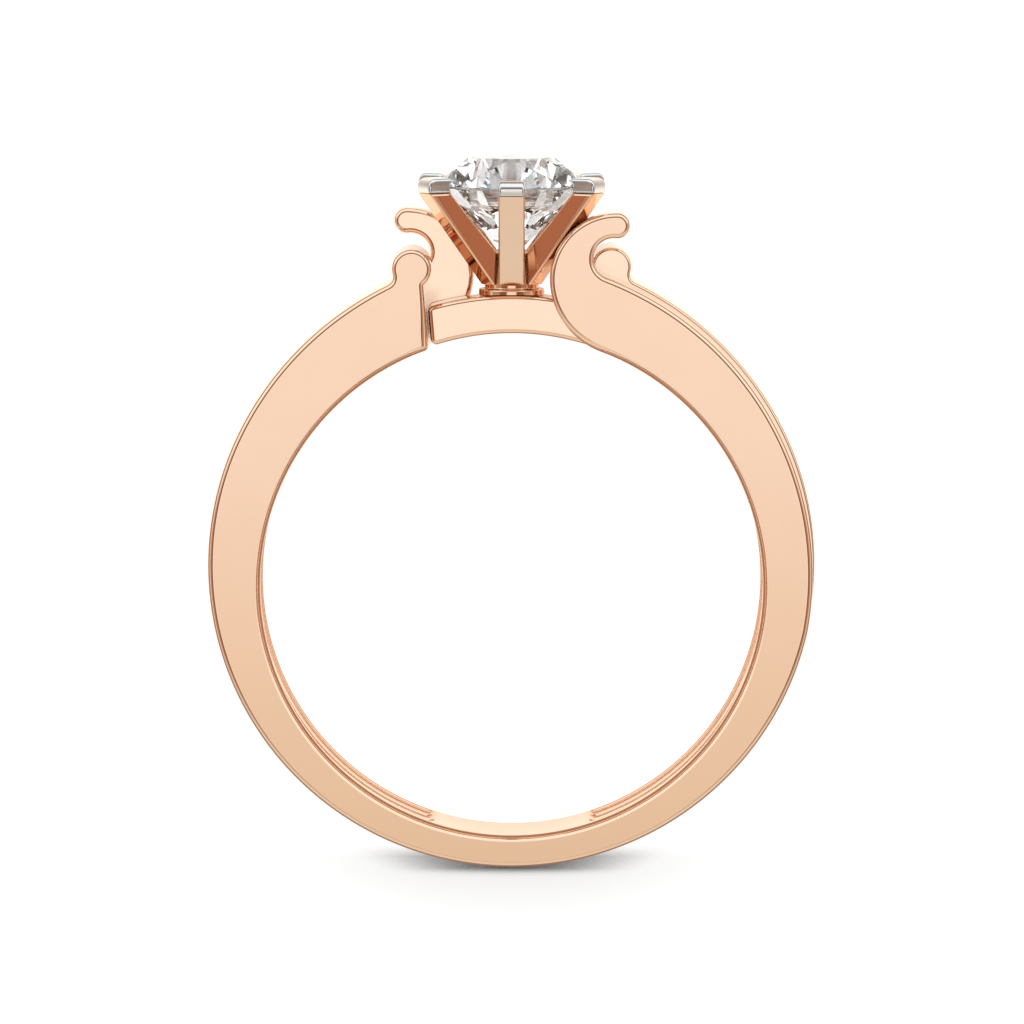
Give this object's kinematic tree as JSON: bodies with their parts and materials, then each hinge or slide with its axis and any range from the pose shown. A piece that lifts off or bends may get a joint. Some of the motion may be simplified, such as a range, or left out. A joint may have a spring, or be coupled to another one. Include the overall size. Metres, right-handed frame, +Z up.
{
  "type": "solitaire ring",
  "caption": "Finger ring whose band parts into two overlapping scrolled shoulders, with a claw setting on a bridge holding one round cut stone.",
  "frame": {"origin": "middle of the ring's box on the surface it lies on", "axes": "+Z up from the surface, about along the finger axis, +Y towards the stone, +X across the ring"},
  "size_m": [0.021, 0.0246, 0.007],
  "materials": {
    "rose_gold": "polished rose gold",
    "white_gold": "polished white gold",
    "diamond": "clear cut stone"
  },
  "bodies": {
    "root": {"shank": "rose_gold", "bridge": "rose_gold", "setting": "rose_gold", "claw_1": "white_gold", "claw_2": "white_gold", "claw_3": "white_gold", "claw_4": "white_gold", "claw_5": "white_gold", "claw_6": "white_gold", "stone": "diamond"}
  },
  "joints": []
}
